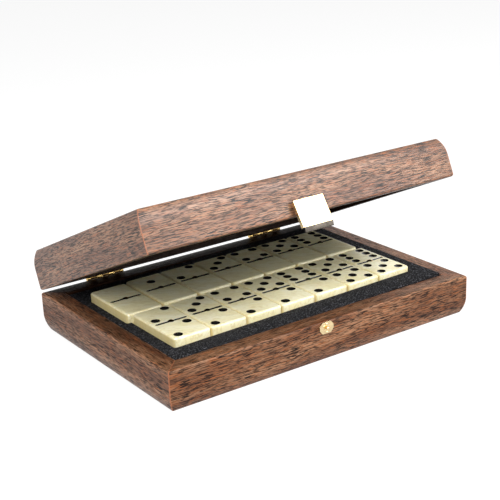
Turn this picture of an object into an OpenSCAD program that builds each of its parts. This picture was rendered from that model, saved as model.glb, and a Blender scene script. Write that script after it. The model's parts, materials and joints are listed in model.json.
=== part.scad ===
// Hinged wooden box with a foam tray and a set of double-six dominoes, shown with its lid ajar.
// Origin: middle of the underside. X runs along the front, Y towards the hinges, Z up.

/* [Box] */
// Outside length of the box, left to right
box_w = 240; // [226:1:320]
// Outside depth of the box, front to back
box_d = 166; // [150:1:220]
// Height of each half, from its far side to the joint
shell_h = 27.5; // [25:0.5:36]
// Thickness of the frame mouldings at the joint
wall_t = 12.3; // [10:0.1:12.6]
// Gap left between the two halves when the lid is shut
closed_gap = 0.6; // [0.4:0.1:2]
// How far the lid stands open
lid_angle = 23.7; // [0:0.1:120]
// How far the clasp and the keeper sit to the side of the middle
fitting_shift = -3.5; // [-10:0.5:10]

/* [Mouldings] */
// Height over which the outside of a moulding bows inwards
bow_h = 12; // [8:0.5:16]
// How far the bow draws in at the far edge
bow_in = 3.3; // [1.5:0.1:4.5]
// Radius of the outside edge at the joint
edge_r = 1.5; // [0.5:0.1:2.5]
// Radius of the inside edge at the joint
inner_edge_r = 0.5; // [0.2:0.1:1]
// Chamfer of the far outside edge
foot_cut = 0.6; // [0.3:0.1:1]
// Thickness of the top and bottom panels
panel_t = 4; // [3:0.5:5]
// Width of the rebate that holds a panel
rebate_w = 5; // [3:0.5:6]
// Gap round a panel in its rebate
panel_gap = 0.1; // [0.05:0.05:0.3]

/* [Foam] */
// Thickness of the foam sheet under the dominoes
foam_floor_t = 4.6; // [3:0.1:6]
// How far the left end of the foam tray lies below the rim
foam_drop = 1.5; // [0.5:0.1:3]
// How much higher the tray's right end has risen
foam_rise = 3.2; // [0:0.1:4]
// Gap between foam and its neighbours
foam_gap = 0.3; // [0.2:0.05:0.5]
// Radius of the corners of the well
well_corner_r = 2; // [1:0.5:2.5]
// Gap between the shut lid's pad and the dominoes
pad_clearance = 0.5; // [0.3:0.1:1]

/* [Dominoes] */
// Width of a domino
tile_w = 27.1; // [24:0.1:27.5]
// Length of a domino
tile_l = 51.5; // [44:0.5:53]
// Thickness of a domino
tile_t = 12; // [10:0.5:12.5]
// Gap between neighbouring dominoes
tile_gap = 0.3; // [0.2:0.05:0.5]
// Radius of the edges of a domino
tile_edge_r = 1.5; // [0.8:0.1:2]
// Radius of the corners of a domino, seen from above
tile_corner_r = 2.5; // [2:0.1:4]
// Diameter of a pip
pip_d = 6.1; // [4:0.1:6.4]
// Depth of a pip
pip_depth = 1; // [0.5:0.1:1.2]
// Sideways spacing of the pips
pip_dx = 7.8; // [6.5:0.1:8.2]
// Lengthways spacing of the pips
pip_dy = 7.3; // [6.5:0.1:8]
// Distance of the middle pip of each half from the dividing bar
pip_middle = 13.5; // [11:0.1:14]
// Length of the dividing bar
bar_l = 22.9; // [15:0.1:24]
// Width of the dividing bar
bar_w = 2.4; // [0.8:0.1:3]
// Depth of the dividing bar
bar_depth = 0.7; // [0.3:0.1:0.9]
// Diameter of the spinner's head
spinner_d = 4.2; // [3:0.1:5]
// Height of the spinner's head above the face
spinner_h = 0.8; // [0.4:0.1:1.2]

/* [Hinges] */
// Length of a hinge along the box
hinge_w = 29; // [24:1:40]
// Distance of the middle of each hinge from the end of the box
hinge_inset = 50.2; // [40:0.1:60]
// Height of a hinge leaf on the wood
leaf_h = 9; // [7:0.5:12]
// Thickness of a hinge leaf
leaf_t = 0.6; // [0.5:0.1:1]
// Radius of a hinge pin
pin_r = 0.7; // [0.6:0.1:1.1]
// Gap round a hinge pin in its knuckles
pin_play = 0.05; // [0.02:0.01:0.1]
// Length of each of the two short end knuckles
end_knuckle = 2.7; // [2:0.1:4]
// Gap between neighbouring knuckles
knuckle_gap = 0.2; // [0.1:0.05:0.4]
// Distance of a hinge screw from the middle of its leaf
screw_spread = 9; // [6:0.5:10]

/* [Clasp] */
// Width of the clasp flap
flap_w = 23.6; // [20:0.2:28]
// Height of the flat face of the flap
flap_h = 17.7; // [16:0.1:20]
// Height of the flap's top edge above the lid's joint face
flap_top = 9.5; // [8:0.1:12]
// Depth of the flap from its face to its rear edge
flap_depth = 3.5; // [3.3:0.1:4.5]
// Thickness of the flap's metal
flap_t = 0.7; // [0.5:0.1:0.9]
// How far the flap stands out from the lid
flap_angle = 11.3; // [0:0.1:60]
// Length of the finger lip under the face
lip_l = 3.4; // [2:0.1:5]
// How far the finger lip is bent towards the box
lip_bend = 18; // [5:1:30]
// Distance of the flap's pin below its top edge
flap_pin_drop = 2.2; // [2:0.1:3]
// Distance of the flap's pin from the wood
flap_pin_off = 2; // [1.8:0.1:2.1]
// Radius of the flap's pin
flap_pin_r = 0.5; // [0.4:0.05:0.6]
// Width of the nailed leaf behind the flap
clasp_leaf_w = 14; // [10:0.5:18]
// Distance of each clasp nail from the middle of the leaf
nail_spread = 4.5; // [3:0.5:5]

/* [Keeper] */
// Width of the keeper plate
keeper_w = 11; // [9:0.5:14]
// Height of the keeper plate
keeper_h = 7.8; // [6.5:0.1:9]
// Thickness of the keeper plate
keeper_t = 0.8; // [0.6:0.1:1.2]
// Distance of the ball stud below the rim
stud_drop = 4.1; // [3.9:0.1:5]
// Diameter of the stud's ball
stud_d = 2.5; // [2:0.1:2.8]

/* [Hidden] */

// Values of each row from left to right, as [back half, front half]
upper_front = [[2, 2], [3, 2], [4, 2], [5, 2], [6, 2], [5, 5], [6, 5]];
upper_back = [[0, 0], [1, 0], [2, 0], [3, 0], [4, 0], [5, 0], [6, 0]];
lower_front = [[1, 1], [2, 1], [3, 1], [4, 1], [5, 1], [6, 1], [3, 3]];
lower_back = [[4, 3], [5, 3], [6, 3], [4, 4], [5, 4], [6, 4], [6, 6]];
rows = [[lower_front, 0, 0], [lower_back, 1, 0], [upper_front, 0, 1], [upper_back, 1, 1]];
columns = len(upper_front);
// Shift of the well to the front, of the front and the back row to the side, and how far each stack sinks in
well_y = -0.9;
row_shift = [-0.8, -4];
sinking = [[1.9, 1.9, 1.6, 1.5, 1.4, 1.3, 1.2], [1.6, 0.7, 0.5, 0.4, 0.4, 0.3, 0.3]];

function domino_name(v) = str("domino_", v[0], "_", v[1]);

walnut = [0.42, 0.26, 0.18];
brass = [0.86, 0.70, 0.36];
foam_black = [0.08, 0.08, 0.09];
ivory = [0.93, 0.91, 0.80];
steel = [0.75, 0.75, 0.76];
fine = 64;
over = 1;
screw_play = 0.03;

// Bow: an arc that leaves the straight face square to it and draws in by bow_in
bow_r = (bow_h * bow_h + bow_in * bow_in) / (2 * bow_in);
bow_x = wall_t - bow_r;
foot_x = wall_t - bow_in - foot_cut;

inner_w = box_w - 2 * wall_t;
inner_d = box_d - 2 * wall_t;
lid_z = shell_h + closed_gap;
lid_far_z = lid_z + shell_h;

stem_r = 0.8;
stem_l = 2.5;

tile_pitch_x = tile_w + tile_gap;
tile_pitch_y = tile_l + tile_gap;
well_w = columns * tile_pitch_x + tile_gap;
well_d = 2 * tile_pitch_y + tile_gap;
tray_z = panel_t + foam_floor_t;
tray_left = shell_h - foam_drop;
tray_right = tray_left + foam_rise;
// The upper dominoes rest on the spinners of the lower ones
layer_h = tile_t + spinner_h + 2 * screw_play;
stack_top = tray_z - min(sinking[1]) + 2 * layer_h;
pad_z = stack_top + pad_clearance;

hinge_spread = box_w / 2 - hinge_inset;
knuckle_r = pin_r + pin_play + leaf_t;
hinge_off = knuckle_r + pin_play * 2;
hinge_y = box_d / 2 + hinge_off;
hinge_z = shell_h + closed_gap / 2;
knuckle_l = (hinge_w - 2 * end_knuckle) / 5;
leaf_neck = knuckle_r + 2 * knuckle_gap;
screw_z = leaf_neck + (leaf_h - leaf_neck) / 2;
screw_r = 0.8;
screw_head_r = 1.6;
screw_l = 7;

flap_pin_z = lid_z + flap_top - flap_pin_drop;
flap_pin_y = -box_d / 2 - flap_pin_off;
flap_front = foam_gap + flap_depth - flap_pin_off;
flap_rear = flap_pin_off - foam_gap;
flap_bottom = flap_pin_drop - flap_h;
flap_edge_r = 0.8;
flap_corner_cut = [0.9, 0.5];
// The leaf is rolled round the pin with this much room left inside the flap's face
clasp_room = 0.1;
clasp_knuckle_r = flap_front - flap_t - clasp_room;
clasp_leaf_t = clasp_knuckle_r - flap_pin_r - pin_play;
clasp_leaf_foot = 0.8;
nail_r = 0.5;
nail_head_r = 1.1;
nail_head_t = 0.4;
nail_l = 6;

keeper_z = shell_h - stud_drop;
keeper_cut = [2.2, 2.6];
ring_r = 2.7;
ring_t = 0.35;
stud_r = stud_d / 2;
stud_neck_r = 0.8;
stud_reach = keeper_t + screw_play + sqrt(pow(stud_r, 2) - pow(stud_neck_r + screw_play, 2));
stud_l = 7;
spring_t = 0.4;
spring_gap = 0.15;

// Placing: what rides on the lid turns about the hinge pins, and the flap about its own pin
module on_lid() {
    translate([0, hinge_y, hinge_z]) rotate([-lid_angle, 0, 0]) translate([0, -hinge_y, -hinge_z])
        children();
}

module on_flap() {
    on_lid() translate([fitting_shift, flap_pin_y, flap_pin_z]) rotate([-flap_angle, 0, 0]) children();
}

module flip_to_lid() {
    translate([0, 0, lid_far_z]) mirror([0, 0, 1]) children();
}

module along_x(length) {
    rotate([90, 0, 90]) linear_extrude(length, center = true) children();
}

// Section of a moulding: x is out of the box from its inner face, y is up from its far side
module moulding_section() {
    difference() {
        intersection() {
            union() {
                square([wall_t - edge_r, shell_h - inner_edge_r]);
                square([wall_t, shell_h - edge_r]);
                translate([inner_edge_r, 0]) square([wall_t - edge_r - inner_edge_r, shell_h]);
                translate([wall_t - edge_r, shell_h - edge_r]) circle(edge_r, $fn = fine);
                translate([inner_edge_r, shell_h - inner_edge_r]) circle(inner_edge_r, $fn = fine);
            }
            union() {
                translate([0, bow_h]) square([wall_t, shell_h - bow_h]);
                intersection() {
                    translate([bow_x, bow_h]) circle(bow_r, $fn = 2 * fine);
                    polygon([[0, 0], [foot_x, 0], [foot_x + bow_h, bow_h], [0, bow_h]]);
                }
            }
        }
        translate([-over, -over]) square([rebate_w + over, panel_t + over]);
    }
}

// A mitred moulding with its inner face on y = 0 and its outside towards +y
module moulding(length) {
    half = length / 2;
    intersection() {
        along_x(length) moulding_section();
        linear_extrude(shell_h)
            polygon([[-half - over, wall_t + over], [half + over, wall_t + over],
                     [half - wall_t - over, -over], [wall_t + over - half, -over]]);
    }
}

module front_moulding() {
    translate([0, -inner_d / 2, 0]) rotate([0, 0, 180]) moulding(box_w);
}

module back_moulding() {
    translate([0, inner_d / 2, 0]) moulding(box_w);
}

module side_moulding(side) {
    translate([side * inner_w / 2, 0, 0]) rotate([0, 0, -side * 90]) moulding(box_d);
}

// Frame of the base
module base_front_rail() {
    color(walnut) difference() {
        front_moulding();
        translate([fitting_shift, -box_d / 2, keeper_z]) rotate([-90, 0, 0])
            cylinder(r = stud_neck_r + screw_play, h = stud_l + screw_play, $fn = fine);
    }
}

module base_back_rail() {
    color(walnut) difference() {
        back_moulding();
        both_hinges() screw_holes(-1);
    }
}

module base_left_rail() {
    color(walnut) side_moulding(-1);
}

module base_right_rail() {
    color(walnut) side_moulding(1);
}

module panel() {
    side = 2 * (rebate_w - panel_gap);
    translate([-(inner_w + side) / 2, -(inner_d + side) / 2, 0])
        cube([inner_w + side, inner_d + side, panel_t]);
}

module base_panel() {
    color(walnut) panel();
}

// Foam of the base
module rounded_plate(width, depth, corner_r) {
    square([width - 2 * corner_r, depth], center = true);
    square([width, depth - 2 * corner_r], center = true);
    for (x = [-1, 1]) for (y = [-1, 1])
        translate([x * (width / 2 - corner_r), y * (depth / 2 - corner_r)]) circle(corner_r, $fn = fine);
}

module foam_floor() {
    color(foam_black) difference() {
        translate([0, 0, panel_t]) linear_extrude(foam_floor_t)
            square([inner_w - 2 * foam_gap, inner_d - 2 * foam_gap], center = true);
        for (row = [0, 1]) for (column = [0:columns - 1])
            translate([stack_x(row, column) - tile_pitch_x / 2, well_y + (row - 1) * tile_pitch_y,
                       stack_z(row, column)])
                cube([tile_pitch_x, tile_pitch_y, foam_floor_t]);
    }
}

module foam_tray() {
    length = inner_w - 2 * foam_gap;
    color(foam_black) difference() {
        rotate([90, 0, 0]) linear_extrude(inner_d - 2 * foam_gap, center = true) polygon([
            [-length / 2, tray_z], [length / 2, tray_z], [length / 2, tray_right], [-length / 2, tray_left]]);
        for (row = [0, 1])
            translate([row_shift[row], well_y, tray_z - over]) linear_extrude(shell_h) well_half(row);
    }
}

// The half of the well that holds one row, with the corners rounded
module well_half(row) {
    intersection() {
        rounded_plate(well_w, well_d, well_corner_r);
        translate([-box_w / 2, (row - 1) * box_d - row * over]) square([box_w, box_d + over]);
    }
}

// Dominoes: each is drawn about the middle of its underside, with its face up
function pips(n) = concat(
    n % 2 == 1 ? [[0, 0]] : [],
    n >= 2 ? [[-1, -1], [1, 1]] : [],
    n >= 4 ? [[-1, 1], [1, -1]] : [],
    n == 6 ? [[-1, 0], [1, 0]] : []);

module domino_block() {
    intersection() {
        linear_extrude(tile_t) rounded_plate(tile_w, tile_l, tile_corner_r);
        translate([0, 0, tile_t / 2]) along_x(tile_w) rounded_plate(tile_l, tile_t, tile_edge_r);
        translate([0, 0, tile_t / 2]) rotate([0, 0, 90]) along_x(tile_l)
            rounded_plate(tile_w, tile_t, tile_edge_r);
    }
}

module domino(v) {
    cup_r = cap_radius(pip_d, pip_depth);
    color(ivory) difference() {
        domino_block();
        for (half = [0, 1]) for (p = pips(v[half]))
            translate([p[0] * pip_dx, (1 - 2 * half) * pip_middle + p[1] * pip_dy,
                       tile_t - pip_depth + cup_r])
                sphere(cup_r, $fn = fine);
        translate([0, 0, tile_t]) dividing_bar();
        translate([0, 0, tile_t - stem_l - screw_play]) cylinder(r = stem_r + screw_play, h = stem_l + over, $fn = fine);
    }
    color(brass) translate([0, 0, tile_t + screw_play]) spinner();
}

// Radius of the ball that makes a round cup or cap of a given width and height
function cap_radius(width, height) = (width * width / 4 + height * height) / (2 * height);

module dividing_bar() {
    r = cap_radius(bar_w, bar_depth);
    end_x = (bar_l - bar_w) / 2;
    translate([0, 0, r - bar_depth]) {
        rotate([0, 90, 0]) cylinder(r = r, h = 2 * end_x, center = true, $fn = fine);
        for (x = [-end_x, end_x]) translate([x, 0, 0]) sphere(r, $fn = fine);
    }
}

// Spinner: a short pin with a low domed head that stands on the face
module spinner() {
    r = cap_radius(spinner_d, spinner_h);
    intersection() {
        cylinder(d = spinner_d + over, h = spinner_h + over, $fn = fine);
        translate([0, 0, spinner_h - r]) sphere(r, $fn = 2 * fine);
    }
    translate([0, 0, -stem_l]) cylinder(r = stem_r, h = stem_l, $fn = fine);
}

// Each stack stands in its own dent in the foam sheet
function stack_x(row, column) = (column - (columns - 1) / 2) * tile_pitch_x + row_shift[row];
function stack_z(row, column) = tray_z - sinking[row][column];

module place_domino(column, row, layer) {
    translate([stack_x(row, column), well_y + (row - 0.5) * tile_pitch_y,
               stack_z(row, column) + layer * layer_h])
        children();
}

// Hinges: drawn about the middle of the pin, with the wood on the -y side and the base below
module both_hinges() {
    for (side = [-1, 1]) at_hinge(side) children();
}

module at_hinge(side) {
    translate([side * hinge_spread, hinge_y, hinge_z]) children();
}

function knuckle_start(i) = -hinge_w / 2 + (i == 0 ? 0 : end_knuckle + (i - 1) * knuckle_l);
function knuckle_length(i) = i == 0 || i == 6 ? end_knuckle : knuckle_l;

module leaf(direction, first) {
    z_low = direction < 0 ? -leaf_h : 0;
    difference() {
        union() {
            translate([-hinge_w / 2, -hinge_off, direction < 0 ? -leaf_h : leaf_neck])
                cube([hinge_w, leaf_t, leaf_h - leaf_neck]);
            for (i = [first:2:6]) {
                start = knuckle_start(i) + (i == 0 ? 0 : knuckle_gap / 2);
                length = knuckle_length(i) - knuckle_gap / (i == 0 || i == 6 ? 2 : 1);
                translate([start, -hinge_off, z_low]) cube([length, leaf_t, leaf_h]);
                translate([start, 0, 0]) rotate([0, 90, 0]) cylinder(r = knuckle_r, h = length, $fn = fine);
            }
        }
        rotate([0, 90, 0])
            cylinder(r = pin_r + pin_play, h = hinge_w + 2 * over, center = true, $fn = fine);
        screws(direction, screw_play);
    }
}

module screws(direction, play) {
    slot_w = 0.45;
    head_h = screw_head_r - screw_r;
    for (x = [-1, 1])
        translate([x * screw_spread, leaf_t - hinge_off, direction * screw_z]) rotate([90, 0, 0])
            difference() {
                union() {
                    cylinder(r = screw_r + play, h = screw_l + play, $fn = fine);
                    cylinder(r1 = screw_head_r + play, r2 = screw_r + play, h = head_h, $fn = fine);
                    if (play > 0) translate([0, 0, -over]) cylinder(r = screw_head_r + play, h = over, $fn = fine);
                }
                if (play == 0) translate([-screw_head_r, -slot_w / 2, -over])
                    cube([2 * screw_head_r, slot_w, over + head_h / 2]);
            }
}

module screw_holes(direction) {
    screws(direction, screw_play);
}

module hinge_pin() {
    rotate([0, 90, 0]) cylinder(r = pin_r, h = hinge_w, center = true, $fn = fine);
}

module left_hinge_base_leaf() {
    color(brass) at_hinge(-1) leaf(-1, 0);
}

module right_hinge_base_leaf() {
    color(brass) at_hinge(1) leaf(-1, 0);
}

module left_hinge_lid_leaf() {
    color(brass) on_lid() at_hinge(-1) leaf(1, 1);
}

module right_hinge_lid_leaf() {
    color(brass) on_lid() at_hinge(1) leaf(1, 1);
}

module left_hinge_pin() {
    color(brass) at_hinge(-1) hinge_pin();
}

module right_hinge_pin() {
    color(brass) at_hinge(1) hinge_pin();
}

module base_hinge_screws() {
    color(brass) both_hinges() screws(-1, 0);
}

module lid_hinge_screws() {
    color(brass) on_lid() both_hinges() screws(1, 0);
}

// Lid
module lid_front_rail() {
    color(walnut) on_lid() difference() {
        flip_to_lid() front_moulding();
        at_clasp() clasp_nail_pair(screw_play);
    }
}

module lid_back_rail() {
    color(walnut) on_lid() difference() {
        flip_to_lid() back_moulding();
        both_hinges() screw_holes(1);
    }
}

module lid_left_rail() {
    color(walnut) on_lid() flip_to_lid() side_moulding(-1);
}

module lid_right_rail() {
    color(walnut) on_lid() flip_to_lid() side_moulding(1);
}

module lid_panel() {
    color(walnut) on_lid() flip_to_lid() panel();
}

module lid_pad() {
    color(foam_black) on_lid() translate([0, 0, pad_z]) linear_extrude(lid_far_z - panel_t - pad_z)
        square([inner_w - 2 * foam_gap, inner_d - 2 * foam_gap], center = true);
}

// Clasp: drawn about the flap's pin, with the wood on the +y side
module at_clasp() {
    translate([fitting_shift, flap_pin_y, flap_pin_z]) children();
}

module clasp_leaf() {
    foot = lid_z + clasp_leaf_foot - flap_pin_z;
    color(brass) on_lid() at_clasp() difference() {
        union() {
            translate([-clasp_leaf_w / 2, flap_pin_off - clasp_leaf_t, foot])
                cube([clasp_leaf_w, clasp_leaf_t, -foot]);
            translate([-clasp_leaf_w / 2, 0, -clasp_knuckle_r])
                cube([clasp_leaf_w, flap_pin_off, clasp_leaf_t]);
            rotate([0, 90, 0]) cylinder(r = clasp_knuckle_r, h = clasp_leaf_w, center = true, $fn = fine);
        }
        rotate([0, 90, 0])
            cylinder(r = flap_pin_r + pin_play, h = clasp_leaf_w + 2 * over, center = true, $fn = fine);
        clasp_nail_pair(screw_play);
    }
}

module clasp_nail_pair(play) {
    z = (lid_z + clasp_leaf_foot - flap_pin_z - clasp_knuckle_r) / 2;
    for (x = [-1, 1])
        translate([x * nail_spread, flap_pin_off - clasp_leaf_t, z]) rotate([-90, 0, 0])
            cylinder(r = nail_r + play, h = nail_l + play, $fn = fine);
}

module clasp_nails() {
    z = (lid_z + clasp_leaf_foot - flap_pin_z - clasp_knuckle_r) / 2;
    color(brass) on_lid() at_clasp() {
        clasp_nail_pair(0);
        for (x = [-1, 1])
            translate([x * nail_spread, flap_pin_off - clasp_leaf_t, z]) rotate([90, 0, 0])
                cylinder(r = nail_head_r, h = nail_head_t, $fn = fine);
    }
}

// Flap: a shallow pressed tray, open at the back, that turns on a pin through its sides
module flap_plan() {
    depth = flap_front + flap_rear;
    difference() {
        translate([0, (flap_rear - flap_front) / 2]) rounded_plate(flap_w, depth, flap_edge_r);
        translate([-flap_w / 2 + flap_t, flap_t - flap_front]) square([flap_w - 2 * flap_t, depth]);
        translate([-flap_w / 2 - over, flap_rear - flap_edge_r]) square([flap_w + 2 * over, over]);
    }
}

module flap_side() {
    translate([-flap_front, flap_bottom]) square([flap_front + flap_rear, -flap_bottom]);
    polygon([[-flap_front, flap_bottom], [0, flap_bottom], [0, flap_pin_drop - flap_corner_cut[1]],
             [-flap_corner_cut[0], flap_pin_drop], [-flap_front, flap_pin_drop]]);
    circle(flap_rear, $fn = fine);
}

module clasp_flap() {
    color(brass) on_flap() {
        difference() {
            intersection() {
                translate([0, 0, flap_bottom]) linear_extrude(flap_h) flap_plan();
                along_x(flap_w) flap_side();
            }
            rotate([0, 90, 0])
                cylinder(r = flap_pin_r + screw_play, h = flap_w + 2 * over, center = true, $fn = fine);
        }
        translate([0, flap_t / 2 - flap_front, flap_bottom]) rotate([lip_bend, 0, 0])
            along_x(flap_w - 2 * flap_edge_r) lip_section();
    }
}

module lip_section() {
    circle(flap_t / 2, $fn = fine);
    translate([-flap_t / 2, -lip_l + flap_t / 2]) square([flap_t, lip_l - flap_t / 2]);
    translate([0, -lip_l + flap_t / 2]) circle(flap_t / 2, $fn = fine);
}

// Spring: two jaws behind the flap's face that close on the ball of the keeper
module clasp_spring() {
    ball_z = keeper_z - flap_pin_z;
    inside = flap_t - flap_front;
    jaw_w = 1;
    jaw_h = 3;
    jaw_gap = stud_r + spring_gap;
    plate_h = 4;
    color(steel) on_flap() {
        translate([-jaw_gap - jaw_w, inside, ball_z + stud_r])
            cube([2 * (jaw_gap + jaw_w), spring_t, plate_h]);
        for (x = [-jaw_gap - jaw_w, jaw_gap])
            translate([x, inside, ball_z - jaw_h / 2])
                cube([jaw_w, spring_t * 3, jaw_h / 2 + stud_r + plate_h]);
    }
}

module clasp_pin() {
    color(brass) on_flap() rotate([0, 90, 0]) cylinder(r = flap_pin_r, h = flap_w, center = true, $fn = fine);
}

// Keeper: a plate with cut corners, held by a ball-headed stud driven into the rail
module at_keeper() {
    translate([fitting_shift, -box_d / 2, keeper_z]) rotate([90, 0, 0]) children();
}

module keeper_plate() {
    x = keeper_w / 2;
    y = keeper_h / 2;
    color(brass) at_keeper() difference() {
        union() {
            linear_extrude(keeper_t) polygon([
                [keeper_cut[0] - x, -y], [x - keeper_cut[0], -y], [x, keeper_cut[1] - y], [x, y - keeper_cut[1]],
                [x - keeper_cut[0], y], [keeper_cut[0] - x, y], [-x, y - keeper_cut[1]], [-x, keeper_cut[1] - y]]);
            translate([0, 0, keeper_t]) rotate_extrude($fn = fine) translate([ring_r, 0]) intersection() {
                circle(ring_t, $fn = fine);
                translate([-ring_t, -ring_t / 2]) square(2 * ring_t);
            }
        }
        translate([0, 0, -over]) cylinder(r = stud_neck_r + screw_play, h = keeper_t + 2 * over, $fn = fine);
    }
}

module keeper_stud() {
    color(brass) at_keeper() {
        translate([0, 0, -stud_l]) cylinder(r = stud_neck_r, h = stud_l + stud_reach, $fn = fine);
        translate([0, 0, stud_reach]) sphere(stud_r, $fn = fine);
    }
}

base_front_rail();
base_back_rail();
base_left_rail();
base_right_rail();
base_panel();
foam_floor();
foam_tray();
keeper_plate();
keeper_stud();
left_hinge_base_leaf();
left_hinge_lid_leaf();
left_hinge_pin();
right_hinge_base_leaf();
right_hinge_lid_leaf();
right_hinge_pin();
base_hinge_screws();
lid_hinge_screws();
lid_front_rail();
lid_back_rail();
lid_left_rail();
lid_right_rail();
lid_panel();
lid_pad();
clasp_leaf();
clasp_nails();
clasp_flap();
clasp_spring();
clasp_pin();
for (row = rows) for (column = [0:columns - 1])
    place_domino(column, row[1], row[2]) domino(row[0][column]);
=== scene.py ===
import json
import math
import bpy
import bmesh
import numpy as np
from mathutils import Matrix, Vector
from mathutils.geometry import delaunay_2d_cdt


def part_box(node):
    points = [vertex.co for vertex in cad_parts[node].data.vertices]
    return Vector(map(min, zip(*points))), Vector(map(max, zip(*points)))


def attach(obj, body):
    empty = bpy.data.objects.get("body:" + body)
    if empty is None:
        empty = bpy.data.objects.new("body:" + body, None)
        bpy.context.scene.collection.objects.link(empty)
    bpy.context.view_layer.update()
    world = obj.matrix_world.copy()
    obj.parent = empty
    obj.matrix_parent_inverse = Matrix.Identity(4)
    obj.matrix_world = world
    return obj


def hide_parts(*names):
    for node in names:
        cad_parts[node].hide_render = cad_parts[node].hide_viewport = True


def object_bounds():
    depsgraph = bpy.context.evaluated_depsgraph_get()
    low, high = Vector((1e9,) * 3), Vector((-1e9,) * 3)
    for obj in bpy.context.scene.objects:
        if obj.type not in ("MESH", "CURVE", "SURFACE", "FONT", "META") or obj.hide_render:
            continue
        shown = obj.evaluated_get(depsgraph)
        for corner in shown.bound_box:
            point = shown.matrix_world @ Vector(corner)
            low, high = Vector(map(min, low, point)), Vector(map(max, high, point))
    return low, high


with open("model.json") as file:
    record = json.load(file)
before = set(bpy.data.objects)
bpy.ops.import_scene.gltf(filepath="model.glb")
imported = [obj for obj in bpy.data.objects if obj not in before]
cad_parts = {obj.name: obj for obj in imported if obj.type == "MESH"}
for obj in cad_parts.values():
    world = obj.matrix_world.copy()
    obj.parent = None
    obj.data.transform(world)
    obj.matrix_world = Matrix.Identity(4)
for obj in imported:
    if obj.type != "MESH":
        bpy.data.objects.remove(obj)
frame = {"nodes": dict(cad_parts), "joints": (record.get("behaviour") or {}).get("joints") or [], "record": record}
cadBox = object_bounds()
print("frame loaded, nodes:", len(frame["nodes"]))

mm = 0.001
homeOf = {n: b for b, ns in frame["record"]["behaviour"]["bodies"].items() for n in ns}  # body of each node
joints = {j["name"]: j for j in frame["joints"]}


def gridFaces(rows, cols, wrapRows=False, wrapCols=False):
    # quads between the points of a grid that is stored row by row
    i = np.arange(rows if wrapRows else rows - 1)
    j = np.arange(cols if wrapCols else cols - 1)
    a, b = [m.ravel() for m in np.meshgrid(i, j, indexing="ij")]
    c, d = (a + 1) % rows, (b + 1) % cols
    return np.stack([a * cols + b, a * cols + d, c * cols + d, c * cols + b], -1)


def buildPiece(name, patches, materials, sharpAngle=40, mergeAt=2e-6):
    # patches: dicts of points (n, 3), faces, and maybe material, uv (n, 2) and per-point values
    points = np.concatenate([p["points"] for p in patches])
    faces, slots, start = [], [], 0
    for p in patches:
        rows = [[int(k) + start for k in f] for f in p["faces"]]
        faces += rows
        slots += [p.get("material", 0)] * len(rows)
        start += len(p["points"])
    mesh = bpy.data.meshes.new(name)
    mesh.from_pydata(points.tolist(), [], faces)
    mesh.polygons.foreach_set("material_index", np.array(slots, np.int32))
    corner = np.zeros(len(mesh.loops), np.int32)
    mesh.loops.foreach_get("vertex_index", corner)
    if "uv" in patches[0]:
        uv = np.concatenate([p["uv"] for p in patches])
        mesh.uv_layers.new(name="run").data.foreach_set("uv", uv[corner].ravel())
    for label in patches[0].get("values", {}):
        value = np.concatenate([p["values"][label] for p in patches])
        mesh.attributes.new(label, "FLOAT", "POINT").data.foreach_set("value", value)
    for material in materials:
        mesh.materials.append(material)
    bm = bmesh.new()
    bm.from_mesh(mesh)
    bmesh.ops.remove_doubles(bm, verts=bm.verts, dist=mergeAt)
    bmesh.ops.recalc_face_normals(bm, faces=bm.faces)
    bm.to_mesh(mesh)
    bm.free()
    mesh.shade_smooth()
    mesh.set_sharp_from_angle(angle=math.radians(sharpAngle))
    piece = bpy.data.objects.new(name, mesh)
    bpy.context.scene.collection.objects.link(piece)
    return piece


def standFor(piece, node):
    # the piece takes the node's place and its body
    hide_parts(node)
    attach(piece, homeOf[node])
    return piece


def groupOf(name, inputs, outputs):
    # an empty shader group with its sockets; returns it with its input and output nodes
    group = bpy.data.node_groups.new(name, "ShaderNodeTree")
    for label, kind, value in inputs:
        socket = group.interface.new_socket(name=label, in_out="INPUT", socket_type="NodeSocket" + kind)
        if value is not None:
            socket.default_value = value
    for label, kind in outputs:
        group.interface.new_socket(name=label, in_out="OUTPUT", socket_type="NodeSocket" + kind)
    return group, group.nodes.new("NodeGroupInput"), group.nodes.new("NodeGroupOutput")


def addNode(tree, kind, inputs=None, **settings):
    # inputs are links or plain values, settings are the node's own options
    node = tree.nodes.new("ShaderNode" + kind)
    for key, value in settings.items():
        setattr(node, key, value)
    for key, value in (inputs or {}).items():
        if isinstance(value, bpy.types.NodeSocket):
            tree.links.new(value, node.inputs[key])
        else:
            node.inputs[key].default_value = value
    return node


def noiseOf(tree, coords, stretch, detail=3.0, rough=0.55, twist=0.0, shift=(0, 0, 0)):
    # noise whose cells are one unit of the stretched coordinates across
    place = addNode(tree, "Mapping", {"Vector": coords, "Scale": stretch, "Location": shift})
    noise = addNode(tree, "TexNoise", {"Vector": place.outputs[0], "Scale": 1.0, "Detail": detail,
                                       "Roughness": rough, "Distortion": twist})
    return noise.outputs["Fac"]


def rampOf(tree, value, low, high, outLow=0.0, outHigh=1.0):
    # a smooth step from outLow to outHigh as the value goes from low to high
    span = addNode(tree, "MapRange", {"Value": value, "From Min": low, "From Max": high,
                                      "To Min": outLow, "To Max": outHigh}, interpolation_type="SMOOTHSTEP")
    return span.outputs[0]


def mixOf(tree, factor, first, second, blend="MIX"):
    mix = tree.nodes.new("ShaderNodeMix")
    mix.data_type, mix.blend_type = "RGBA", blend
    for socket, value in ((mix.inputs[0], factor), (mix.inputs[6], first), (mix.inputs[7], second)):
        if isinstance(value, bpy.types.NodeSocket):
            tree.links.new(value, socket)
        else:
            socket.default_value = value
    return mix.outputs[2]


def mathOf(tree, operation, first, second=0.0):
    return addNode(tree, "Math", {0: first, 1: second}, operation=operation).outputs[0]


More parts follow.
